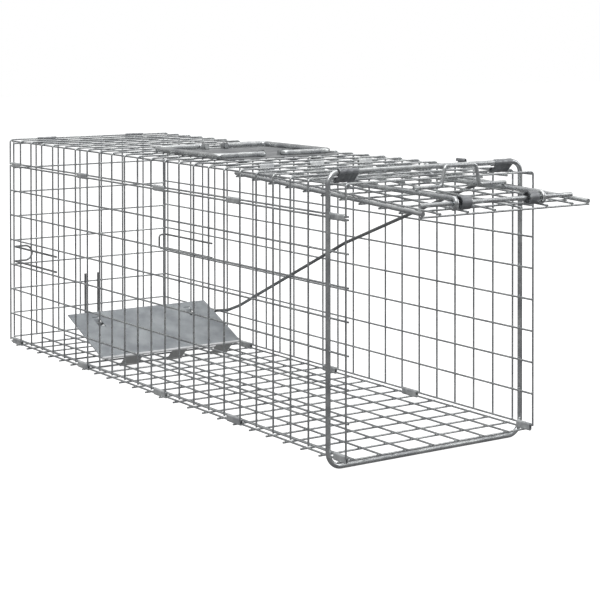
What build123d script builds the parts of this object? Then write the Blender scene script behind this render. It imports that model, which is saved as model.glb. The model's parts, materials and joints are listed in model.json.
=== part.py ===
from build123d import *
import math
import os

# Live catch trap: welded wire cage with a gravity door at the front, a treadle
# near the rear and a folding carry handle on top.
# Axes: +Z up, door end toward -Y, origin on the ground at the centre of the footprint.
# All lengths are millimetres.

os.makedirs("parts", exist_ok=True)

# ---- driving dimensions ----
pitch = 25.4                    # square mesh, centre to centre
cells_long = 24                 # cage length in cells
cells_high = 8                  # cage height in cells
wall_half_width = 91.64         # centre line of the wall's upright wires
mesh_radius = 0.8               # 1.6 mm mesh wire
touch = 0.01                    # gap left where two wires touch
ground_gap = 13.0               # lowest wall wire above the ground

cage_length = cells_long * pitch
front = -cage_length / 2
rear = cage_length / 2
cross = 2 * mesh_radius + touch         # centre distance of two crossing wires
wire_end = 1.2                          # how far a wire runs past its last crossing

base_z = ground_gap
top_z = base_z + cells_high * pitch     # lengthwise wires of the top
top_cross_z = top_z + cross             # crosswise wires of the top
side_wire_x = wall_half_width - cross   # lengthwise wires of the walls
stations = [front + pitch * i for i in range(cells_long + 1)]


# ---- helpers ----
def rods_along_x(x_start, x_end, points, radius):
    """Straight rods along X through (y, z) points."""
    with BuildSketch(Plane.YZ.offset(x_start)) as section:
        with Locations(points):
            Circle(radius)
    extrude(section.sketch, amount=x_end - x_start)


def rods_along_y(y_start, y_end, points, radius):
    """Straight rods along Y through (x, z) points."""
    with BuildSketch(Plane.XZ.offset(-y_start)) as section:
        with Locations(points):
            Circle(radius)
    extrude(section.sketch, amount=y_start - y_end)


def rods_along_z(z_start, z_end, points, radius):
    """Upright rods through (x, y) points."""
    with BuildSketch(Plane.XY.offset(z_start)) as section:
        with Locations(points):
            Circle(radius)
    extrude(section.sketch, amount=z_end - z_start)


def bent_rod(corners, bends, radius):
    """A round rod through the corners, each inner corner rounded to its bend radius."""
    points = [Vector(*corner) for corner in corners]
    with BuildLine() as path:
        last = points[0]
        for before, corner, after, bend in zip(points, points[1:], points[2:], bends):
            way_in = (corner - before).normalized()
            way_out = (after - corner).normalized()
            turn = math.radians(way_in.get_angle(way_out))
            setback = bend * math.tan(turn / 2)
            toward_centre = (way_out - way_in).normalized()
            middle = corner + toward_centre * (bend / math.cos(turn / 2) - bend)
            Line(last, corner - way_in * setback)
            ThreePointArc(corner - way_in * setback, middle, corner + way_out * setback)
            last = corner + way_out * setback
        Line(last, points[-1])
    with BuildSketch(Plane(origin=points[0], z_dir=points[1] - points[0])) as section:
        Circle(radius)
    sweep(section.sketch, path=path.wire())


def eye(centre, inner_radius, rod_radius, turn=(0, 90, 0)):
    """A closed eye bent from round rod, its axis along X unless turned."""
    with Locations(Location(centre, turn)):
        Torus(inner_radius + rod_radius, rod_radius)


def two_wire_ring(wire_a, wire_b, bore_a, bore_b, sheet):
    """Cross-section of a sheet ring drawn tight around two parallel wires."""
    with BuildSketch() as outside:
        with BuildLine():
            CenterArc(wire_a, bore_a + sheet, 0, 360)
            CenterArc(wire_b, bore_b + sheet, 0, 360)
        make_hull()
    with BuildSketch() as inside:
        with BuildLine():
            CenterArc(wire_a, bore_a, 0, 360)
            CenterArc(wire_b, bore_b, 0, 360)
        make_hull()
    return outside.sketch - inside.sketch


# ---- upper mesh: top, right wall and left edge bent from one panel ----
bend_radius = 2.6
corner_x = wall_half_width - bend_radius
corner_z = top_cross_z - bend_radius
flange_wire_z = top_z - 22.9
top_wire_x = [pitch * (i - 3.5) for i in range(8)]
right_wire_z = [top_z - pitch * i for i in range(1, cells_high + 1)]

with BuildPart() as upper_mesh:
    rods_along_x(-corner_x, corner_x, [(y, top_cross_z) for y in stations], mesh_radius)
    wall_bottom = base_z - 1.0
    wall_top = corner_z - touch
    rods_along_z(wall_bottom, wall_top, [(wall_half_width, y) for y in stations], mesh_radius)
    flange_bottom = flange_wire_z - 1.0
    rods_along_z(flange_bottom, wall_top, [(-wall_half_width, y) for y in stations], mesh_radius)
    for side in (-1, 1):
        with BuildSketch(Plane.YZ.offset(side * (corner_x + touch))) as bend_start:
            with Locations([(y, top_cross_z) for y in stations]):
                Circle(mesh_radius)
        bend_axis = Axis((side * (corner_x + touch), 0, corner_z), (0, side, 0))
        revolve(bend_start.sketch, axis=bend_axis, revolution_arc=90)
    lengthwise = [(x, top_z) for x in top_wire_x]
    lengthwise += [(side_wire_x, z) for z in right_wire_z]
    lengthwise.append((-side_wire_x, flange_wire_z))
    rods_along_y(front - wire_end, rear + wire_end, lengthwise, mesh_radius)
upper_mesh.part.label = "upper_mesh"
export_step(upper_mesh.part, "parts/upper_mesh.step")

# ---- left wall: separate flat panel, seven cells high ----
left_wall_cells = 7
left_wall_top = base_z + left_wall_cells * pitch

with BuildPart() as left_wall_mesh:
    rods_along_z(base_z - 1.0, left_wall_top + 0.95,
                 [(-wall_half_width, y) for y in stations], mesh_radius)
    rods_along_y(front - wire_end, rear + wire_end,
                 [(-side_wire_x, base_z + pitch * i) for i in range(left_wall_cells + 1)],
                 mesh_radius)
left_wall_mesh.part.label = "left_wall_mesh"
export_step(left_wall_mesh.part, "parts/left_wall_mesh.step")

# ---- floor: flat panel right under the walls, its cross wires a little further back ----
floor_wire_z = base_z - 3.4
floor_cross_z = floor_wire_z - cross
floor_first = front + 9.2
floor_stations = [floor_first + pitch * i for i in range(cells_long)]
floor_pitch = 25.1
floor_right_wire = 69.6
floor_wire_x = [floor_right_wire - floor_pitch * i for i in range(7)]
floor_wire_x += [-side_wire_x, side_wire_x]
floor_left_end = -92.8
floor_right_end = 96.5
floor_wire_front = front + 4.6

with BuildPart() as floor_mesh:
    rods_along_x(floor_left_end, floor_right_end,
                 [(y, floor_cross_z) for y in floor_stations], mesh_radius)
    rods_along_y(floor_wire_front, rear + wire_end,
                 [(x, floor_wire_z) for x in floor_wire_x], mesh_radius)
floor_mesh.part.label = "floor_mesh"
export_step(floor_mesh.part, "parts/floor_mesh.step")

# ---- rear panel ----
rear_pitch = 24.9
rear_top_wire = top_z - 2.6
rear_wire_z = [rear_top_wire - rear_pitch * i for i in range(9)]
rear_upright_x = [rear_pitch * (i - 3.5) for i in range(8)]

with BuildPart() as rear_mesh:
    rods_along_x(-88.3, 88.3, [(rear, z) for z in rear_wire_z], mesh_radius)
    rods_along_z(rear_wire_z[-1] - wire_end, rear_top_wire + wire_end,
                 [(x, rear + cross) for x in rear_upright_x], mesh_radius)
rear_mesh.part.label = "rear_mesh"
export_step(rear_mesh.part, "parts/rear_mesh.step")

# ---- front frame: one heavy rod loop around the mouth ----
frame_y = front + 19.5
frame_radius = 2.0
frame_half_width = wall_half_width + mesh_radius + frame_radius + 0.06
frame_bottom = frame_radius
frame_top = base_z + 212.0
top_bend = 9.0
bottom_bend = 12.0
frame_low = frame_bottom + bottom_bend
frame_high = frame_top - top_bend

with BuildPart() as front_frame:
    rods_along_z(frame_low + touch, frame_high - touch,
                 [(-frame_half_width, frame_y), (frame_half_width, frame_y)], frame_radius)
    for height, bend, tip in ((frame_top, top_bend, 1), (frame_bottom, bottom_bend, -1)):
        straight_x = frame_half_width - bend
        rods_along_x(-straight_x + touch, straight_x - touch, [(frame_y, height)], frame_radius)
        for side in (-1, 1):
            with BuildSketch(Plane.YZ.offset(side * straight_x)) as bend_start:
                with Locations((frame_y, height)):
                    Circle(frame_radius)
            turn_axis = Axis((side * straight_x, frame_y, height - tip * bend), (0, side * tip, 0))
            revolve(bend_start.sketch, axis=turn_axis, revolution_arc=90)
front_frame.part.label = "front_frame"
export_step(front_frame.part, "parts/front_frame.step")

# ---- sleeves that clamp the frame's top bar to the second top wire ----
clamp_sheet = 0.75
clamp_inner = 67.2
clamp_length = 18.0

with BuildPart() as frame_clamps:
    for clamp_x in (-clamp_inner - clamp_length, clamp_inner):
        ring = two_wire_ring((frame_y, frame_top), (stations[1], top_cross_z),
                             frame_radius + 0.03, mesh_radius + 0.03, clamp_sheet)
        with BuildSketch(Plane.YZ.offset(clamp_x)) as section:
            add(ring)
        extrude(section.sketch, amount=clamp_length)
frame_clamps.part.label = "frame_clamps"
export_step(frame_clamps.part, "parts/frame_clamps.step")

# ---- crimp clips that join the panels along their edges ----
clip_length = 20.5
clip_sheet = 0.7
clip_bore = mesh_radius + 0.02
clip_cells = (0, 6, 11, 17, 23)
clip_lead = 2.45                # gap from a wall upright to a clip on the upper seam
floor_clip_lead = 1.2           # the same for the floor clips
front_floor_clip = 15.9         # the front floor clips stop short of the front frame


def clip_ring(low_z, high_z, x):
    """Cross-section of one crimp clip around two wires, one above the other."""
    return two_wire_ring((x, low_z), (x, high_z), clip_bore, clip_bore, clip_sheet)


def edge_clips(x, low_z, high_z, lead, front_length=clip_length):
    """A row of crimp clips along one lengthwise seam, each between two wall uprights."""
    for cell in clip_cells:
        length = front_length if cell == 0 else clip_length
        with BuildSketch(Plane.XZ.offset(-(stations[cell] + lead))) as section:
            add(clip_ring(low_z, high_z, x))
        extrude(section.sketch, amount=-length)


with BuildPart() as upper_seam_clips:
    edge_clips(-side_wire_x, left_wall_top, flange_wire_z, clip_lead)
upper_seam_clips.part.label = "upper_seam_clips"
export_step(upper_seam_clips.part, "parts/upper_seam_clips.step")


def notch_floor_wires(x):
    """Cut each clip where a floor cross wire passes under it."""
    with Locations([(x, y, floor_cross_z) for y in floor_stations]):
        Box(8.0, 2 * mesh_radius + 0.5, 2 * mesh_radius + 0.2, mode=Mode.SUBTRACT)


with BuildPart() as left_floor_clips:
    edge_clips(-side_wire_x, floor_wire_z, base_z, floor_clip_lead, front_floor_clip)
    notch_floor_wires(-side_wire_x)
left_floor_clips.part.label = "left_floor_clips"
export_step(left_floor_clips.part, "parts/left_floor_clips.step")

with BuildPart() as right_floor_clips:
    edge_clips(side_wire_x, floor_wire_z, base_z, floor_clip_lead, front_floor_clip)
    notch_floor_wires(side_wire_x)
right_floor_clips.part.label = "right_floor_clips"
export_step(right_floor_clips.part, "parts/right_floor_clips.step")

with BuildPart() as rear_clips:
    for clip_x in (-2 * pitch, 2 * pitch):
        ring = two_wire_ring((rear, rear_top_wire), (rear, top_cross_z),
                             clip_bore, clip_bore, clip_sheet)
        with BuildSketch(Plane.YZ.offset(clip_x - clip_length / 2)) as section:
            add(ring)
        extrude(section.sketch, amount=clip_length)
rear_clips.part.label = "rear_clips"
export_step(rear_clips.part, "parts/rear_clips.step")

# one clip stands up from the outermost top wire on the right
corner_clip_start = front + 84.0
corner_clip_length = 11.5
corner_clip_rise = 5.6

with BuildPart() as corner_clip:
    with BuildSketch(Plane.XZ.offset(-corner_clip_start)) as section:
        add(clip_ring(top_z, top_z + corner_clip_rise, top_wire_x[-1]))
    extrude(section.sketch, amount=-corner_clip_length)
corner_clip.part.label = "corner_clip"
export_step(corner_clip.part, "parts/corner_clip.step")

# ---- rear corner hairpins: wire bent round each rear corner ----
hairpin_radius = 1.0
hairpin_x = side_wire_x - mesh_radius - hairpin_radius - 0.15
hairpin_y = rear - mesh_radius - hairpin_radius - 0.15
hairpin_front = front + 508.0
hairpin_low = base_z + 79.5
hairpin_high = base_z + 94.5
hairpin_bend = 3.0


def corner_hairpin(side, tip, tip_bend):
    """One hairpin: two legs along the wall, a loop against the rear panel out to the tip."""
    bent_rod([(side * hairpin_x, hairpin_front, hairpin_high),
              (side * hairpin_x, hairpin_y, hairpin_high),
              (side * tip, hairpin_y, hairpin_high),
              (side * tip, hairpin_y, hairpin_low),
              (side * hairpin_x, hairpin_y, hairpin_low),
              (side * hairpin_x, hairpin_front, hairpin_low)],
             (hairpin_bend, tip_bend, tip_bend, hairpin_bend), hairpin_radius)


with BuildPart() as rear_hairpin_left:
    corner_hairpin(-1, 69.0, 7.45)
rear_hairpin_left.part.label = "rear_hairpin_left"
export_step(rear_hairpin_left.part, "parts/rear_hairpin_left.step")

with BuildPart() as rear_hairpin_right:
    corner_hairpin(1, 80.0, 3.0)
rear_hairpin_right.part.label = "rear_hairpin_right"
export_step(rear_hairpin_right.part, "parts/rear_hairpin_right.step")

# ---- door: wire panel between two side rods, hung from a top cross wire ----
hinge_y = stations[7]
hinge_z = top_cross_z
door_rod_radius = 1.75
door_rod_x = 79.3
door_front = Vector(0, front - 79.1, base_z + 188.5)
door_back = Vector(0, front + 178.9, base_z + 200.0)
door_run = (door_back - door_front).normalized()
door_up = Vector(0, -door_run.Z, door_run.Y)
door_cross_drop = door_rod_radius + mesh_radius + touch
door_cells = 10


def door_point(along, above):
    """A point on the door: distance from its front end, height over the side rods' centre."""
    return door_front + door_run * along + door_up * above


door_cross = [door_point(wire_end + pitch * i, -door_cross_drop) for i in range(door_cells + 1)]
door_plane = Plane(origin=door_front, x_dir=(1, 0, 0), z_dir=door_run)
door_length = (door_back - door_front).length

with BuildPart() as door_side_rods:
    with BuildSketch(door_plane) as section:
        with Locations([(-door_rod_x, 0), (door_rod_x, 0)]):
            Circle(door_rod_radius)
    extrude(section.sketch, amount=door_length)
door_side_rods.part.label = "door_side_rods"
export_step(door_side_rods.part, "parts/door_side_rods.step")

door_wire_drop = door_cross_drop - cross
door_wire_x = [pitch * (i - 2.5) for i in range(6)]
local_y = -1 if door_plane.y_dir.Z < 0 else 1

with BuildPart() as door_mesh:
    rods_along_x(-81.0, 81.0, [(p.Y, p.Z) for p in door_cross], mesh_radius)
    with BuildSketch(door_plane) as section:
        with Locations([(x, -local_y * door_wire_drop) for x in door_wire_x]):
            Circle(mesh_radius)
    extrude(section.sketch, amount=door_length - wire_end)
door_mesh.part.label = "door_mesh"
export_step(door_mesh.part, "parts/door_mesh.step")

# three sheet loops: tight on the door's last cross wire, turning on the cage's wire
hinge_loop_width = 14.0
hinge_loop_x = [-2 * pitch, 0.0, 2 * pitch]
last_cross = door_cross[-1]

with BuildPart() as door_hinge_loops:
    for loop_x in hinge_loop_x:
        ring = two_wire_ring((last_cross.Y, last_cross.Z), (hinge_y, hinge_z),
                             mesh_radius + 0.02, mesh_radius + 0.05, 0.8)
        with BuildSketch(Plane.YZ.offset(loop_x - hinge_loop_width / 2)) as section:
            add(ring)
        extrude(section.sketch, amount=hinge_loop_width)
door_hinge_loops.part.label = "door_hinge_loops"
export_step(door_hinge_loops.part, "parts/door_hinge_loops.step")

# ---- lock bar: two arms hung from a top cross wire, a cross rod with rollers, a pull bail ----
arm_x = 42.0
arm_radius = 1.9
arm_pivot_y = stations[3]
arm_pivot_z = top_cross_z
cross_rod_y = front - 66.5
cross_rod_z = base_z + 193.05
cross_rod_radius = 1.75
cross_rod_half = 73.1
arm_eye_radius = cross_rod_radius + 0.05
arm_front_z = cross_rod_z + arm_eye_radius + arm_radius
arm_knee_y = front + 62.0
arm_knee_z = base_z + 198.0
pivot_eye_radius = mesh_radius + 0.05
arm_back_z = arm_pivot_z - pivot_eye_radius - arm_radius

with BuildPart() as lock_arms:
    for side in (-1, 1):
        bent_rod([(side * arm_x, cross_rod_y, arm_front_z),
                  (side * arm_x, arm_knee_y, arm_knee_z),
                  (side * arm_x, arm_pivot_y, arm_back_z)], (12.0,), arm_radius)
        eye((side * arm_x, cross_rod_y, cross_rod_z), arm_eye_radius, arm_radius)
        eye((side * arm_x, arm_pivot_y, arm_pivot_z), pivot_eye_radius, arm_radius)
lock_arms.part.label = "lock_arms"
export_step(lock_arms.part, "parts/lock_arms.step")

with BuildPart() as lock_cross_rod:
    rods_along_x(-cross_rod_half, cross_rod_half, [(cross_rod_y, cross_rod_z)], cross_rod_radius)
lock_cross_rod.part.label = "lock_cross_rod"
export_step(lock_cross_rod.part, "parts/lock_cross_rod.step")

roller_radius = 5.2
roller_length = 8.8
roller_start = 28.3             # between two of the door's lengthwise wires
roller_recess_radius = 4.1
roller_recess_depth = 2.5

with BuildPart() as lock_rollers:
    for roller_x in (-roller_start - roller_length, roller_start):
        with BuildSketch(Plane.YZ.offset(roller_x)) as section:
            with Locations((cross_rod_y, cross_rod_z)):
                Circle(roller_radius)
                Circle(cross_rod_radius + 0.05, mode=Mode.SUBTRACT)
        extrude(section.sketch, amount=roller_length)
        for recess_x in (roller_x, roller_x + roller_length - roller_recess_depth):
            with BuildSketch(Plane.YZ.offset(recess_x)) as recess:
                with Locations((cross_rod_y, cross_rod_z)):
                    Circle(roller_recess_radius)
            extrude(recess.sketch, amount=roller_recess_depth, mode=Mode.SUBTRACT)
lock_rollers.part.label = "lock_rollers"
export_step(lock_rollers.part, "parts/lock_rollers.step")

bail_radius = 1.5
bail_y = front - 21.6
arm_rise = (arm_knee_z - arm_front_z) / (arm_knee_y - cross_rod_y)
arm_at_bail = arm_front_z + arm_rise * (bail_y + bail_radius - cross_rod_y)
bail_foot_z = arm_at_bail + arm_radius + bail_radius + 0.03
bail_top_z = base_z + 216.0

with BuildPart() as lock_bail:
    bent_rod([(-44.7, bail_y, bail_foot_z), (-18.6, bail_y, bail_foot_z),
              (-14.8, bail_y, bail_top_z), (14.8, bail_y, bail_top_z),
              (18.6, bail_y, bail_foot_z), (44.7, bail_y, bail_foot_z)],
             (3.0, 3.0, 3.0, 3.0), bail_radius)
lock_bail.part.label = "lock_bail"
export_step(lock_bail.part, "parts/lock_bail.step")

# ---- treadle: tilted sheet plate hinged on a floor cross wire ----
treadle_axis_y = floor_stations[17]
treadle_axis_z = floor_cross_z
treadle_front = Vector(0, front + 428.9, base_z + 4.8)
treadle_tilt = 22.7
treadle_x = (-78.0, 76.0)
treadle_width = treadle_x[1] - treadle_x[0]
treadle_middle = (treadle_x[0] + treadle_x[1]) / 2
treadle_length = 81.5
treadle_sheet = 0.8
slot_x = (-52.4, 50.4)
slot_width = 7.0
slot_length = 19.0
slot_along = 63.2
slope = Vector(0, math.cos(math.radians(treadle_tilt)), math.sin(math.radians(treadle_tilt)))
square_up = Vector(0, -slope.Z, slope.Y)
treadle_plane = Plane(origin=treadle_front, x_dir=(1, 0, 0), z_dir=square_up)
trigger_radius = 1.5
dip = 2 * trigger_radius + 0.1
dip_half = 3.0
hem_radius = 1.3
tab_spans = ((-53.0, -33.5), (-1.8, 14.2), (47.6, 66.2))

with BuildPart() as treadle_plate:
    with BuildSketch(treadle_plane):
        with Locations((treadle_middle, 0)):
            Rectangle(treadle_width, treadle_length, align=(Align.CENTER, Align.MIN))
        with Locations([(x, slot_along) for x in slot_x]):
            Rectangle(slot_width, slot_length, mode=Mode.SUBTRACT)
    extrude(amount=treadle_sheet)
    # a lanced strip in each slot dips under the trigger rod
    for centre_x in slot_x:
        strip_origin = treadle_front + slope * slot_along + Vector(centre_x - slot_width / 2 + 0.4, 0, 0)
        with BuildSketch(Plane(origin=strip_origin, x_dir=slope, z_dir=(1, 0, 0))) as strip:
            with BuildLine():
                Polyline((-slot_length / 2 - 1.0, 0), (-dip_half - 3.2, 0),
                         (-dip_half, -dip), (dip_half, -dip),
                         (dip_half + 3.2, 0), (slot_length / 2 + 1.0, 0),
                         (slot_length / 2 + 1.0, -treadle_sheet),
                         (dip_half + 3.9, -treadle_sheet),
                         (dip_half + 0.45, -dip - treadle_sheet),
                         (-dip_half - 0.45, -dip - treadle_sheet),
                         (-dip_half - 3.9, -treadle_sheet),
                         (-slot_length / 2 - 1.0, -treadle_sheet), close=True)
            make_face()
        extrude(strip.sketch, amount=slot_width - 0.8)
    # rolled hem along the front edge
    hem_centre = treadle_front + square_up * (hem_radius - 0.3)
    rods_along_x(treadle_x[0], treadle_x[1], [(hem_centre.Y, hem_centre.Z)], hem_radius)
    # three hinge tabs curl round the floor wire
    tab_top = treadle_front + slope * 0.6 + square_up * 0.1
    tab_run = Vector(0, tab_top.Y - treadle_axis_y, tab_top.Z - treadle_axis_z)
    tab_dir = tab_run.normalized()
    tab_curl = mesh_radius + 0.05
    for tab_start, tab_end in tab_spans:
        with BuildSketch(Plane.YZ.offset(tab_start)) as curl:
            with Locations((treadle_axis_y, treadle_axis_z)):
                Circle(tab_curl + treadle_sheet)
                Circle(tab_curl, mode=Mode.SUBTRACT)
        extrude(curl.sketch, amount=tab_end - tab_start)
        strap_start = Vector(tab_start, treadle_axis_y, treadle_axis_z)
        strap_plane = Plane(origin=strap_start, x_dir=tab_dir, z_dir=(1, 0, 0))
        with BuildSketch(strap_plane) as strap:
            with Locations((tab_curl + 0.1, 0.05)):
                Rectangle(tab_run.length - tab_curl - 0.1, treadle_sheet,
                          align=(Align.MIN, Align.MIN))
        extrude(strap.sketch, amount=tab_end - tab_start)
treadle_plate.part.label = "treadle_plate"
export_step(treadle_plate.part, "parts/treadle_plate.step")

# ---- trigger rod: lies under the treadle, runs forward along the right wall to the door ----
rod_bed = treadle_front + slope * slot_along - square_up * (trigger_radius + 0.04)
trigger_x = 82.9
door_stub = door_point(141.1, -door_cross_drop)
hook_z = door_stub.Z - mesh_radius - trigger_radius

with BuildPart() as trigger_rod:
    bent_rod([(-59.0, rod_bed.Y, rod_bed.Z),
              (80.4, rod_bed.Y, rod_bed.Z),
              (81.0, front + 464.0, base_z + 31.4),
              (81.3, front + 440.0, base_z + 39.5),
              (81.6, front + 405.0, base_z + 55.3),
              (82.6, front + 255.0, base_z + 121.5),
              (trigger_x, front + 76.0, base_z + 185.4),
              (trigger_x, front + 62.0, hook_z),
              (trigger_x, front + 50.0, hook_z)],
             (5.0, 30.0, 30.0, 60.0, 60.0, 12.0, 6.0), trigger_radius)
trigger_rod.part.label = "trigger_rod"
export_step(trigger_rod.part, "parts/trigger_rod.step")

# ---- bait prongs: a wire fork welded under the treadle's rear edge, standing up behind it ----
prong_radius = 1.1
prong_x = (-57.8, -43.9)
prong_y = front + 505.8
prong_top = base_z + 75.9
prong_base = treadle_front + slope * 76.5 - square_up * (prong_radius + touch)
prong_knee_z = prong_base.Z + (prong_y - prong_base.Y) * slope.Z / slope.Y

with BuildPart() as bait_prongs:
    bent_rod([(prong_x[0], prong_y, prong_top), (prong_x[0], prong_y, prong_knee_z),
              (prong_x[0], prong_base.Y, prong_base.Z), (prong_x[1], prong_base.Y, prong_base.Z),
              (prong_x[1], prong_y, prong_knee_z), (prong_x[1], prong_y, prong_top)],
             (2.5, 2.0, 2.0, 2.5), prong_radius)
bait_prongs.part.label = "bait_prongs"
export_step(bait_prongs.part, "parts/bait_prongs.step")

# ---- carry handle: guard plate clinched to the top mesh, two folding bails ----
guard_sheet = 0.8
guard_bottom = top_cross_z + mesh_radius + 0.02
guard_top = guard_bottom + guard_sheet
guard_x = (-54.0, 62.0)
guard_y = (front + 232.0, front + 355.5)
handle_radius = 2.2
handle_y = (front + 246.0, front + 359.0)
handle_z = guard_top + handle_radius + 0.3
left_pivot_x = -9.0
right_pivot_x = 12.0
left_grip_x = -58.5
right_grip_x = 60.5
pin_length = 10.0
strap_bore = handle_radius + 0.05
strap_radius = strap_bore + 0.9
strap_length = 4.4
strap_gap = 4.6                 # from a bail arm's centre line to the strap
clinch_width = 8.0
clinch_wire_x = (-1.5 * pitch, 1.5 * pitch)
clinch_y = (front + 9.5 * pitch, front + 13.5 * pitch)

with BuildPart() as handle_plate:
    with BuildSketch(Plane.XY.offset(guard_bottom)):
        with Locations(((guard_x[0] + guard_x[1]) / 2, (guard_y[0] + guard_y[1]) / 2)):
            RectangleRounded(guard_x[1] - guard_x[0], guard_y[1] - guard_y[0], 4.0)
    extrude(amount=guard_sheet)
    # half-round straps that hold the bails' turned-in ends down
    strap_foot = handle_z - guard_top + 0.2
    for pivot_x in (left_pivot_x, right_pivot_x):
        for strap_y in (handle_y[0] + strap_gap, handle_y[1] - strap_gap - strap_length):
            with BuildSketch(Plane.XZ.offset(-strap_y)) as strap:
                with Locations((pivot_x, handle_z)):
                    Circle(strap_radius)
                with Locations((pivot_x, handle_z - strap_foot)):
                    Rectangle(2 * strap_radius, strap_radius + strap_foot,
                              align=(Align.CENTER, Align.MIN), mode=Mode.INTERSECT)
                    Rectangle(2 * strap_radius, strap_foot, align=(Align.CENTER, Align.MIN))
                    Rectangle(2 * strap_bore, strap_foot, align=(Align.CENTER, Align.MIN),
                              mode=Mode.SUBTRACT)
                with Locations((pivot_x, handle_z)):
                    Circle(strap_bore, mode=Mode.SUBTRACT)
            extrude(strap.sketch, amount=-strap_length)
    # clinch tabs hook under two lengthwise top wires
    for wire_x in clinch_wire_x:
        for tab_y in clinch_y:
            with BuildSketch(Plane.XZ.offset(-(tab_y - clinch_width / 2))) as clinch:
                with BuildLine():
                    Polyline((wire_x + 1.1, guard_top - 0.2), (wire_x + 1.1, top_z - 1.1),
                             (wire_x - 1.8, top_z - 1.1), (wire_x - 1.8, top_z - 1.9),
                             (wire_x + 1.9, top_z - 1.9), (wire_x + 1.9, guard_top - 0.2),
                             close=True)
                make_face()
            extrude(clinch.sketch, amount=-clinch_width)
handle_plate.part.label = "handle_plate"
export_step(handle_plate.part, "parts/handle_plate.step")


def folding_bail(pivot_x, grip_x):
    """A U-shaped bail with both ends turned in as pivot pins."""
    bent_rod([(pivot_x, handle_y[0] + pin_length, handle_z), (pivot_x, handle_y[0], handle_z),
              (grip_x, handle_y[0], handle_z), (grip_x, handle_y[1], handle_z),
              (pivot_x, handle_y[1], handle_z), (pivot_x, handle_y[1] - pin_length, handle_z)],
             (3.2, 6.0, 6.0, 3.2), handle_radius)


with BuildPart() as handle_bail_left:
    folding_bail(left_pivot_x, left_grip_x)
handle_bail_left.part.label = "handle_bail_left"
export_step(handle_bail_left.part, "parts/handle_bail_left.step")

with BuildPart() as handle_bail_right:
    folding_bail(right_pivot_x, right_grip_x)
handle_bail_right.part.label = "handle_bail_right"
export_step(handle_bail_right.part, "parts/handle_bail_right.step")
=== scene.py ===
import json
import math
import random

import bmesh
import bpy
from mathutils import Matrix, Vector


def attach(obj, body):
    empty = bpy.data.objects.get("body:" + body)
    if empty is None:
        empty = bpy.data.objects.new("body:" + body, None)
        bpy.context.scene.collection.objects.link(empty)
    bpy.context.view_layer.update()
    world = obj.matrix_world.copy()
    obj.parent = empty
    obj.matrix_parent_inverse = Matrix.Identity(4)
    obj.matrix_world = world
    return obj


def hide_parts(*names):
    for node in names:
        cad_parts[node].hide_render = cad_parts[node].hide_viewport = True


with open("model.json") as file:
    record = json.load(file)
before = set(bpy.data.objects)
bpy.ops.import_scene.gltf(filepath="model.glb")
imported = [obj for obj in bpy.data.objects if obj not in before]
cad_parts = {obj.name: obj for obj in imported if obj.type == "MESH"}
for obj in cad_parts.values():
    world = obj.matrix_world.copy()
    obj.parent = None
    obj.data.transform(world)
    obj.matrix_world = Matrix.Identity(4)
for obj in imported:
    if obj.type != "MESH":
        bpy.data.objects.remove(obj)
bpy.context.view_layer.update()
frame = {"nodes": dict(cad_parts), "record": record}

random.seed(7)
MM = 0.001

# ---------------------------------------------------------------- sizes, in millimetres
PITCH = 25.4
WIRE = 0.8
FRONT = -304.8
REAR = 304.8
BASE = 13.0
CROSS = 2 * WIRE + 0.01
TOP = BASE + 8 * PITCH
TOP_CROSS = TOP + CROSS
WALL = 91.64
SIDE = WALL - CROSS
STATIONS = [FRONT + PITCH * i for i in range(25)]
FLOOR_WIRE = BASE - 3.4
FLOOR_STATIONS = [FRONT + 9.2 + PITCH * i for i in range(24)]
FLOOR_X = [69.6 - 25.1 * i for i in range(7)] + [-SIDE, SIDE]
FLANGE = TOP - 22.9
LEFT_TOP = BASE + 7 * PITCH
REAR_TOP = TOP - 2.6
REAR_PITCH = 24.9
TOP_X = [PITCH * (i - 3.5) for i in range(8)]


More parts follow.
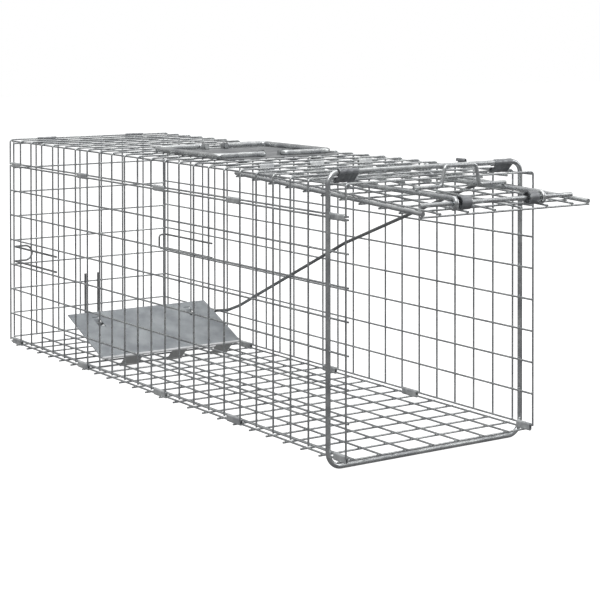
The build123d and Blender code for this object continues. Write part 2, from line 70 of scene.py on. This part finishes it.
# ---------------------------------------------------------------- materials
def zinc(name, colour, rough, metal, spangle, spangle_mm, streak, bloom_amount, dent=0.12, hem_highlight_and_tab_light=None):
    """Galvanised steel: crystal spangle, drawn-wire streaks, dull white bloom and painted shade darkening the
    crevices.

    The last argument, when given, is (furthest back y, lowest z) of the rolled hem, which gets a painted
    highlight; the tabs lower down are painted paler, painted light that lifts their shade.
    """
    mat = bpy.data.materials.new(name)
    mat.use_nodes = True
    tree = mat.node_tree
    nodes, links = tree.nodes, tree.links
    nodes.clear()
    out = nodes.new("ShaderNodeOutputMaterial")
    shader = nodes.new("ShaderNodeBsdfPrincipled")
    links.new(shader.outputs[0], out.inputs[0])
    shader.inputs["Metallic"].default_value = metal
    coord = nodes.new("ShaderNodeTexCoord")
    place = coord.outputs["Object"]

    def set_or_link(value, socket):
        if isinstance(value, (int, float, tuple)):
            socket.default_value = value
        else:
            links.new(value, socket)

    def noise(scale, detail=3.0, roughness=0.55):
        node = nodes.new("ShaderNodeTexNoise")
        node.inputs["Scale"].default_value = scale
        node.inputs["Detail"].default_value = detail
        node.inputs["Roughness"].default_value = roughness
        links.new(place, node.inputs["Vector"])
        return node.outputs["Fac"]

    def ramp(source, low, high, start=(0, 0, 0, 1), end=(1, 1, 1, 1)):
        node = nodes.new("ShaderNodeValToRGB")
        node.color_ramp.elements[0].position = low
        node.color_ramp.elements[1].position = high
        node.color_ramp.elements[0].color = start
        node.color_ramp.elements[1].color = end
        links.new(source, node.inputs[0])
        return node.outputs[0]

    def blend(kind, factor, first, second):
        node = nodes.new("ShaderNodeMix")
        node.data_type = "RGBA"
        node.blend_type = kind
        for value, socket in ((factor, node.inputs[0]), (first, node.inputs[6]), (second, node.inputs[7])):
            set_or_link(value, socket)
        return node.outputs[2]

    def maths(kind, first, second):
        node = nodes.new("ShaderNodeMath")
        node.operation = kind
        for value, socket in ((first, node.inputs[0]), (second, node.inputs[1])):
            set_or_link(value, socket)
        return node.outputs[0]

    crystals = nodes.new("ShaderNodeTexVoronoi")
    crystals.inputs["Scale"].default_value = 1000.0 / spangle_mm
    links.new(place, crystals.inputs["Vector"])
    grain = nodes.new("ShaderNodeRGBToBW")
    links.new(crystals.outputs["Color"], grain.inputs[0])

    r, g, b = colour
    dark = (r * 0.80, g * 0.80, b * 0.82, 1)
    light = (min(1, r * 1.18), min(1, g * 1.18), min(1, b * 1.17), 1)
    patch = blend("MIX", ramp(noise(55.0), 0.35, 0.65), dark, light)
    facet = ramp(grain.outputs[0], 0.15, 0.85, (0.72, 0.73, 0.74, 1), (1.22, 1.22, 1.22, 1))
    faceted = blend("MULTIPLY", spangle, patch, facet)
    streaks = ramp(noise(420.0, 2.0), 0.42, 0.62, (0.82, 0.82, 0.83, 1), (1.08, 1.08, 1.08, 1))
    drawn = blend("MULTIPLY", streak, faceted, streaks)
    bloom = ramp(noise(130.0, 6.0, 0.7), 0.60, 0.78)
    bloomed = blend("MIX", maths("MULTIPLY", bloom, bloom_amount), drawn, (0.62, 0.64, 0.64, 1))
    geometry = nodes.new("ShaderNodeNewGeometry")
    # painted shade: concave spots (low pointiness) are darkened towards 0.45
    painted_crevice_shade = ramp(geometry.outputs["Pointiness"], 0.40, 0.48, (0.45, 0.45, 0.46, 1), (1, 1, 1, 1))
    finished = blend("MULTIPLY", 0.7, bloomed, painted_crevice_shade)
    if hem_highlight_and_tab_light:
        split = nodes.new("ShaderNodeSeparateXYZ")
        links.new(place, split.inputs[0])
        hem_highlight_mask = maths("LESS_THAN", split.outputs["Y"], hem_highlight_and_tab_light[0] * MM)
        tab_light_mask = maths("LESS_THAN", split.outputs["Z"], hem_highlight_and_tab_light[1] * MM)
        # painted highlight: the rolled hem is turned nearly white (0.88)
        finished = blend("MIX", hem_highlight_mask, finished, (0.88, 0.89, 0.90, 1))
        # painted light: the tabs are made paler (0.66) to lift the shade under the plate
        finished = blend("MIX", tab_light_mask, finished, (0.66, 0.67, 0.66, 1))
    links.new(finished, shader.inputs["Base Color"])

    rough_base = maths("ADD", maths("MULTIPLY", noise(240.0, 4.0), 0.22), rough - 0.11)
    rough_cell = maths("ADD", rough_base, maths("MULTIPLY", grain.outputs[0], 0.12 * spangle))
    rough_bloom = maths("MULTIPLY", bloom, 0.25 * bloom_amount)
    links.new(maths("ADD", rough_cell, rough_bloom), shader.inputs["Roughness"])

    bump_fine = nodes.new("ShaderNodeBump")
    bump_fine.inputs["Strength"].default_value = dent
    bump_fine.inputs["Distance"].default_value = 0.00012
    links.new(maths("ADD", noise(700.0, 3.0), maths("MULTIPLY", grain.outputs[0], spangle)),
              bump_fine.inputs["Height"])
    bump_wide = nodes.new("ShaderNodeBump")
    bump_wide.inputs["Strength"].default_value = dent
    bump_wide.inputs["Distance"].default_value = 0.0004
    links.new(noise(90.0, 2.0), bump_wide.inputs["Height"])
    links.new(bump_fine.outputs[0], bump_wide.inputs["Normal"])
    links.new(bump_wide.outputs[0], shader.inputs["Normal"])
    return mat


mesh_zinc = zinc("mesh_wire_zinc", (0.64, 0.66, 0.66), 0.27, 0.95, 0.2, 3.0, 0.4, 0.10)
rod_zinc = zinc("rod_zinc", (0.68, 0.70, 0.70), 0.27, 0.95, 0.25, 4.0, 0.35, 0.15)
bent_zinc = zinc("bent_wire_zinc", (0.36, 0.37, 0.37), 0.30, 0.95, 0.2, 3.0, 0.35, 0.10)
clip_zinc = zinc("clip_zinc", (0.72, 0.74, 0.74), 0.36, 0.55, 0.4, 4.0, 0.2, 0.15)
dark_zinc = zinc("dark_sheet_zinc", (0.32, 0.33, 0.34), 0.36, 0.75, 0.4, 4.0, 0.2, 0.10)
guard_zinc = zinc("guard_sheet_zinc", (0.34, 0.35, 0.355), 0.40, 0.6, 0.4, 9.0, 0.1, 0.15, 0.15)
# the treadle's rolled hem gets a painted highlight and its tabs painted light
treadle_zinc = zinc("treadle_sheet_zinc", (0.370, 0.395, 0.412), 0.62, 0.12, 0.08, 8.0, 0.06, 0.04, 0.08,
                    hem_highlight_and_tab_light=(FRONT + 429.9, BASE + 4.2))
weld_zinc = zinc("weld_zinc", (0.46, 0.48, 0.48), 0.42, 0.9, 0.2, 2.0, 0.2, 0.2)

SLOT_LOOK = {"mesh_wire": mesh_zinc, "frame_rod": rod_zinc, "bent_wire": bent_zinc, "clip_sheet": clip_zinc,
             "dark_sheet": dark_zinc, "guard_sheet": guard_zinc, "treadle_sheet": treadle_zinc}
NODE_SLOT = {item["node"]: item["material_slot"] for item in frame["record"]["subparts"]}
for node, obj in frame["nodes"].items():
    obj.data.materials.clear()
    obj.data.materials.append(SLOT_LOOK[NODE_SLOT[node]])


# ---------------------------------------------------------------- mesh helpers
def new_piece(name, bm, mat, body, replaces=()):
    """Turns a bmesh into a smooth-shaded piece that rides on a body."""
    mesh = bpy.data.meshes.new(name)
    bm.normal_update()
    bm.to_mesh(mesh)
    bm.free()
    for face in mesh.polygons:
        face.use_smooth = True
    mesh.materials.append(mat)
    obj = bpy.data.objects.new(name, mesh)
    bpy.context.scene.collection.objects.link(obj)
    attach(obj, body)
    if replaces:
        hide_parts(*replaces)
    return obj


def soften(obj, width):
    """Rounds the sharp edges of a CAD part with a small bevel."""
    bevel = obj.modifiers.new("edge_round", "BEVEL")
    bevel.width = width * MM
    bevel.segments = 2
    bevel.limit_method = "ANGLE"
    bevel.angle_limit = math.radians(35)
    bevel.use_clamp_overlap = True
    bevel.harden_normals = True


def add_lump(bm, centre, radii):
    """A small squashed weld lump."""
    scale = Matrix.Diagonal(Vector((radii[0] * MM, radii[1] * MM, radii[2] * MM, 1)))
    matrix = Matrix.Translation(Vector(centre) * MM) @ scale
    bmesh.ops.create_uvsphere(bm, u_segments=8, v_segments=4, radius=1.0, matrix=matrix)


def rounded(points, bends, steps=8):
    """A point list through the corners with each inner corner rounded."""
    pts = [Vector(p) for p in points]
    path = [pts[0]]
    for before, corner, after, bend in zip(pts, pts[1:], pts[2:], bends):
        way_in = (corner - before).normalized()
        way_out = (after - corner).normalized()
        turn = way_in.angle(way_out)
        if bend <= 0 or turn < 1e-3:
            path.append(corner)
            continue
        setback = bend * math.tan(turn / 2)
        centre = corner + (way_out - way_in).normalized() * (bend / math.cos(turn / 2))
        start = corner - way_in * setback - centre
        axis = way_in.cross(way_out).normalized()
        for i in range(steps + 1):
            path.append(centre + Matrix.Rotation(turn * i / steps, 3, axis) @ start)
    path.append(pts[-1])
    return path


def tube(bm, path, radius, around):
    """A swept round rod with domed ends."""
    count = len(path)
    tangents = []
    for i in range(count):
        a = path[max(i - 1, 0)]
        b = path[min(i + 1, count - 1)]
        tangents.append((b - a).normalized())
    side = tangents[0].orthogonal().normalized()
    rings = []

    def ring(centre, tangent, scale):
        nonlocal side
        side = (side - tangent * side.dot(tangent)).normalized()
        other = tangent.cross(side)
        verts = []
        for k in range(around):
            angle = 2 * math.pi * k / around
            out = side * math.cos(angle) + other * math.sin(angle)
            verts.append(bm.verts.new((centre + out * radius * scale) * MM))
        rings.append(verts)

    domes = (0.35, 0.7, 0.93)
    depth = 0.75
    for scale in domes:
        lift = radius * depth * (1 - math.sqrt(max(0.0, 1 - scale * scale)))
        ring(path[0] + tangents[0] * lift, tangents[0], scale)
    for i in range(count):
        centre = path[i]
        if i == 0:
            centre = path[0] + tangents[0] * radius * depth
        if i == count - 1:
            centre = path[-1] - tangents[-1] * radius * depth
        ring(centre, tangents[i], 1.0)
    for scale in reversed(domes):
        lift = radius * depth * (1 - math.sqrt(max(0.0, 1 - scale * scale)))
        ring(path[-1] - tangents[-1] * lift, tangents[-1], scale)
    for first, second in zip(rings, rings[1:]):
        for k in range(around):
            n = (k + 1) % around
            bm.faces.new((first[k], first[n], second[n], second[k]))
    bm.faces.new(list(reversed(rings[0])))
    bm.faces.new(rings[-1])


def wrap_outline(a, b, ra, rb, slit, steps=14):
    """Points of a taut loop around two round wires, open at the point nearest the slit."""
    a, b = Vector(a), Vector(b)
    run = b - a
    span = run.length
    heading = math.atan2(run.y, run.x)
    lean = math.asin((ra - rb) / span)
    points = []
    for i in range(steps + 1):
        angle = heading + math.pi / 2 - lean + (math.pi + 2 * lean) * i / steps
        points.append(a + Vector((math.cos(angle), math.sin(angle))) * ra)
    for i in range(steps + 1):
        angle = heading - math.pi / 2 + lean + (math.pi - 2 * lean) * i / steps
        points.append(b + Vector((math.cos(angle), math.sin(angle))) * rb)
    dense = []
    loop = points + [points[0]]
    for p, q in zip(loop, loop[1:]):
        pieces = max(1, int((q - p).length / 0.6))
        for k in range(pieces):
            dense.append(p.lerp(q, k / pieces))
    start = min(range(len(dense)), key=lambda i: (dense[i] - Vector(slit)).length)
    turned = dense[start:] + dense[:start]
    return turned[1:-1]


def crimp_sleeve(bm, a, b, ra, rb, sheet, along, start, length, slit):
    """A strip of sheet wrapped round two wires, open at the slit, with two crimping grooves."""
    axis = {"x": lambda s, p: Vector((s, p.x, p.y)), "y": lambda s, p: Vector((p.x, s, p.y))}[along]
    outline = wrap_outline(a, b, ra + sheet, rb + sheet, slit)
    inner = wrap_outline(a, b, ra, rb, slit)
    while len(inner) < len(outline):
        inner.append(inner[-1].copy())
    inner = [inner[int(i * (len(inner) - 1) / (len(outline) - 1))] for i in range(len(outline))]
    rows = 22
    grid_out, grid_in = [], []
    for i in range(rows + 1):
        t = i / rows
        squeeze = sum(math.exp(-((t - spot) * length / 1.1) ** 2) for spot in (1 / 3, 2 / 3))
        flare = math.exp(-(min(t, 1 - t) * length / 0.5) ** 2)
        s = start + length * t
        out_row, in_row = [], []
        for p, q in zip(outline, inner):
            away = p - q
            out_row.append(bm.verts.new(axis(s, p - away * (0.34 * squeeze + 0.25 * flare)) * MM))
            in_row.append(bm.verts.new(axis(s, q) * MM))
        grid_out.append(out_row)
        grid_in.append(in_row)
    n = len(outline)
    for i in range(rows):
        for k in range(n - 1):
            m = k + 1
            bm.faces.new((grid_out[i][k], grid_out[i][m], grid_out[i + 1][m], grid_out[i + 1][k]))
            bm.faces.new((grid_in[i][m], grid_in[i][k], grid_in[i + 1][k], grid_in[i + 1][m]))
    for k in range(n - 1):
        m = k + 1
        bm.faces.new((grid_out[0][m], grid_out[0][k], grid_in[0][k], grid_in[0][m]))
        bm.faces.new((grid_out[rows][k], grid_out[rows][m], grid_in[rows][m], grid_in[rows][k]))
    for i in range(rows):
        bm.faces.new((grid_out[i][0], grid_out[i + 1][0], grid_in[i + 1][0], grid_in[i][0]))
        bm.faces.new((grid_out[i + 1][-1], grid_out[i][-1], grid_in[i][-1], grid_in[i + 1][-1]))
    bmesh.ops.recalc_face_normals(bm, faces=bm.faces[:])


# ---------------------------------------------------------------- weld nuggets of the mesh
def nuggets(name, centres, radii, body):
    bm = bmesh.new()
    for centre in centres:
        grow = random.uniform(0.85, 1.1)
        add_lump(bm, centre, [r * grow for r in radii])
    return new_piece(name, bm, weld_zinc, body)


between = WIRE + 0.005
nuggets("top_welds", [(x, y, TOP + between) for x in TOP_X for y in STATIONS],
        (0.85, 0.85, 0.72), "cage")
nuggets("right_wall_welds", [(SIDE + between, y, TOP - PITCH * k) for k in range(1, 9) for y in STATIONS],
        (0.72, 0.85, 0.85), "cage")
nuggets("left_wall_welds", [(-SIDE - between, y, BASE + PITCH * k) for k in range(8) for y in STATIONS]
        + [(-SIDE - between, y, FLANGE) for y in STATIONS], (0.72, 0.85, 0.85), "cage")
nuggets("floor_welds", [(x, y, FLOOR_WIRE - between) for x in FLOOR_X for y in FLOOR_STATIONS],
        (0.85, 0.85, 0.72), "cage")
nuggets("rear_welds", [(REAR_PITCH * (i - 3.5), REAR + between, REAR_TOP - REAR_PITCH * k)
                       for i in range(8) for k in range(9)], (0.85, 0.72, 0.85), "cage")

# the door's wires are welded to each other and to its two side rods
door_front = Vector((0, FRONT - 79.1, BASE + 188.5))
door_back = Vector((0, FRONT + 178.9, BASE + 200.0))
door_run = (door_back - door_front).normalized()
door_up = Vector((0, -door_run.z, door_run.y))
door_spots = []
for i in range(11):
    along = door_front + door_run * (1.2 + PITCH * i)
    door_spots += [along + door_up * -1.755 + Vector((PITCH * (j - 2.5), 0, 0)) for j in range(6)]
    door_spots += [along + door_up * -1.76 + Vector((side * 79.3, 0, 0)) for side in (-1, 1)]
nuggets("door_welds", door_spots, (0.85, 0.85, 0.72), "door")

# ---------------------------------------------------------------- front frame, one bent rod
FRAME_Y, FRAME_R, TOP_BEND, BOTTOM_BEND = FRONT + 19.5, 2.0, 9.0, 12.0
frame_x = WALL + WIRE + FRAME_R + 0.06
frame_top, frame_bottom = BASE + 212.0, FRAME_R
seam_x = -frame_x + TOP_BEND + 0.6
butt_gap = 0.35
corners = [(seam_x, FRAME_Y, frame_top), (frame_x, FRAME_Y, frame_top), (frame_x, FRAME_Y, frame_bottom),
           (-frame_x, FRAME_Y, frame_bottom), (-frame_x, FRAME_Y, frame_top),
           (seam_x - butt_gap, FRAME_Y, frame_top)]
bm = bmesh.new()
tube(bm, rounded(corners, [TOP_BEND, BOTTOM_BEND, BOTTOM_BEND, TOP_BEND], 14), FRAME_R, 20)
new_piece("front_frame_rod", bm, rod_zinc, "cage", replaces=("front_frame",))

# ---------------------------------------------------------------- crimped sheet sleeves
CLIP_SHEET, CLIP_BORE, CLIP_LENGTH = 0.7, WIRE + 0.02, 20.5
CLIP_CELLS = (0, 6, 11, 17, 23)
bm = bmesh.new()
for cell in CLIP_CELLS:
    crimp_sleeve(bm, (-SIDE, LEFT_TOP), (-SIDE, FLANGE), CLIP_BORE, CLIP_BORE, CLIP_SHEET, "y",
                 STATIONS[cell] + 2.45, CLIP_LENGTH, (-SIDE + 1.5, (LEFT_TOP + FLANGE) / 2))
new_piece("upper_seam_clip_sleeves", bm, clip_zinc, "cage", replaces=("upper_seam_clips",))

bm = bmesh.new()
CORNER_RISE, CORNER_START, CORNER_LENGTH = 5.6, FRONT + 84.0, 11.5
crimp_sleeve(bm, (TOP_X[-1], TOP), (TOP_X[-1], TOP + CORNER_RISE), CLIP_BORE, CLIP_BORE, CLIP_SHEET, "y",
             CORNER_START, CORNER_LENGTH, (TOP_X[-1] - 1.5, TOP + CORNER_RISE / 2))
new_piece("corner_clip_sleeve", bm, dark_zinc, "cage", replaces=("corner_clip",))

bm = bmesh.new()
for clip_x in (-2 * PITCH, 2 * PITCH):
    crimp_sleeve(bm, (REAR, REAR_TOP), (REAR, TOP_CROSS), CLIP_BORE, CLIP_BORE, CLIP_SHEET, "x",
                 clip_x - CLIP_LENGTH / 2, CLIP_LENGTH, (REAR - 1.5, (REAR_TOP + TOP_CROSS) / 2))
new_piece("rear_clip_sleeves", bm, dark_zinc, "cage", replaces=("rear_clips",))

bm = bmesh.new()
CLAMP_INNER, CLAMP_LENGTH, CLAMP_SHEET, CLAMP_GAP = 67.2, 18.0, 0.75, 0.03
for clamp_x in (-CLAMP_INNER - CLAMP_LENGTH, CLAMP_INNER):
    crimp_sleeve(bm, (FRAME_Y, frame_top), (STATIONS[1], TOP_CROSS), FRAME_R + CLAMP_GAP, WIRE + CLAMP_GAP,
                 CLAMP_SHEET, "x", clamp_x, CLAMP_LENGTH, (STATIONS[1] - 1.0, TOP_CROSS + 4.0))
new_piece("frame_clamp_sleeves", bm, dark_zinc, "cage", replaces=("frame_clamps",))

for node, width in (("treadle_plate", 0.22), ("handle_plate", 0.22), ("lock_rollers", 0.4),
                    ("left_floor_clips", 0.15), ("right_floor_clips", 0.15), ("door_hinge_loops", 0.2)):
    soften(frame["nodes"][node], width)

# ---------------------------------------------------------------- camera, light and floor
scene = bpy.context.scene
CAMERA_PLACE = Vector((-0.8155, -1.3567, 0.3367))
AZIMUTH, PITCH_DOWN = -0.6298, 0.0156
forward = Vector((-math.sin(AZIMUTH) * math.cos(PITCH_DOWN), math.cos(AZIMUTH) * math.cos(PITCH_DOWN),
                  -math.sin(PITCH_DOWN)))
camera = bpy.data.cameras.new("camera")
camera_obj = bpy.data.objects.new("camera", camera)
scene.collection.objects.link(camera_obj)
camera_obj.location = CAMERA_PLACE
camera_obj.rotation_mode = "QUATERNION"
camera_obj.rotation_quaternion = forward.to_track_quat("-Z", "Y")
camera.sensor_width = 36.0
camera.lens = 103.1
camera.clip_start, camera.clip_end = 0.05, 50.0
scene.camera = camera_obj
# the picture's off-centre framing holds only while the camera stands in its main place
AT_MAIN_PLACE = "abs(px - (%r)) < 0.002 and abs(py - (%r)) < 0.002" % (CAMERA_PLACE.x, CAMERA_PLACE.y)
for prop, amount in (("shift_x", -0.1537), ("shift_y", -0.4149)):
    curve = camera.driver_add(prop)
    driver = curve.driver
    driver.type = "SCRIPTED"
    for label, channel in (("px", "LOC_X"), ("py", "LOC_Y")):
        var = driver.variables.new()
        var.name = label
        var.type = "TRANSFORMS"
        var.targets[0].id = camera_obj
        var.targets[0].transform_type = channel
        var.targets[0].transform_space = "WORLD_SPACE"
    driver.expression = "%r if %s else 0.0" % (amount, AT_MAIN_PLACE)

bm = bmesh.new()
bmesh.ops.create_grid(bm, x_segments=40, y_segments=40, size=6.0)
mesh = bpy.data.meshes.new("floor")
bm.to_mesh(mesh)
bm.free()
floor = bpy.data.objects.new("floor", mesh)
floor.location = (0, 0, -0.0002)
scene.collection.objects.link(floor)
pale = bpy.data.materials.new("pale_floor")
pale.use_nodes = True
shader = pale.node_tree.nodes["Principled BSDF"]
shader.inputs["Base Color"].default_value = (0.42, 0.42, 0.42, 1)
shader.inputs["Roughness"].default_value = 0.9
shader.inputs["Emission Color"].default_value = (1, 1, 1, 1)
shader.inputs["Emission Strength"].default_value = 0.95
mesh.materials.append(pale)
floor.visible_glossy = False
floor.visible_diffuse = False

world = bpy.data.worlds.new("studio")
scene.world = world
world.use_nodes = True
nodes, links = world.node_tree.nodes, world.node_tree.links
nodes.clear()
out = nodes.new("ShaderNodeOutputWorld")
path = nodes.new("ShaderNodeLightPath")
mix = nodes.new("ShaderNodeMixShader")
seen = nodes.new("ShaderNodeBackground")
seen.inputs[0].default_value = (1, 1, 1, 1)
seen.inputs[1].default_value = 1.0
unseen = nodes.new("ShaderNodeBackground")
coord = nodes.new("ShaderNodeTexCoord")
split = nodes.new("ShaderNodeSeparateXYZ")
links.new(coord.outputs["Generated"], split.inputs[0])
band = nodes.new("ShaderNodeValToRGB")
elements = band.color_ramp.elements
elements[0].position, elements[0].color = 0.0, (0.14, 0.141, 0.144, 1)
elements[1].position, elements[1].color = 1.0, (0.50, 0.50, 0.50, 1)
for position, level in ((0.45, 0.20), (0.55, 0.33), (0.72, 0.48)):
    stop = elements.new(position)
    stop.color = (level, level, level * 1.01, 1)
remap = nodes.new("ShaderNodeMapRange")
remap.inputs["From Min"].default_value = -1.0
remap.inputs["From Max"].default_value = 1.0
links.new(split.outputs["Z"], remap.inputs["Value"])
links.new(remap.outputs[0], band.inputs[0])
links.new(band.outputs[0], unseen.inputs[0])
unseen.inputs[1].default_value = 1.0
links.new(path.outputs["Is Camera Ray"], mix.inputs[0])
links.new(unseen.outputs[0], mix.inputs[1])
links.new(seen.outputs[0], mix.inputs[2])
links.new(mix.outputs[0], out.inputs[0])


def area(name, place, size, power):
    """A soft rectangular lamp that points at the middle of the object."""
    lamp = bpy.data.lights.new(name, "AREA")
    lamp.shape = "RECTANGLE"
    lamp.size, lamp.size_y = size
    lamp.energy = power
    obj = bpy.data.objects.new(name, lamp)
    obj.location = place
    obj.rotation_mode = "QUATERNION"
    obj.rotation_quaternion = (AIM - Vector(place)).to_track_quat("-Z", "Y")
    scene.collection.objects.link(obj)
    obj.visible_camera = False


AIM = Vector((0, 0, 0.1))
area("key", (-1.3, -1.6, 2.2), (1.4, 1.4), 26.0)
area("overhead", (0.2, 0.2, 2.4), (2.6, 2.6), 24.0)
area("side", (1.9, -1.2, 1.1), (0.9, 1.4), 9.0)
scene.view_settings.view_transform = "Standard"
scene.view_settings.look = "None"
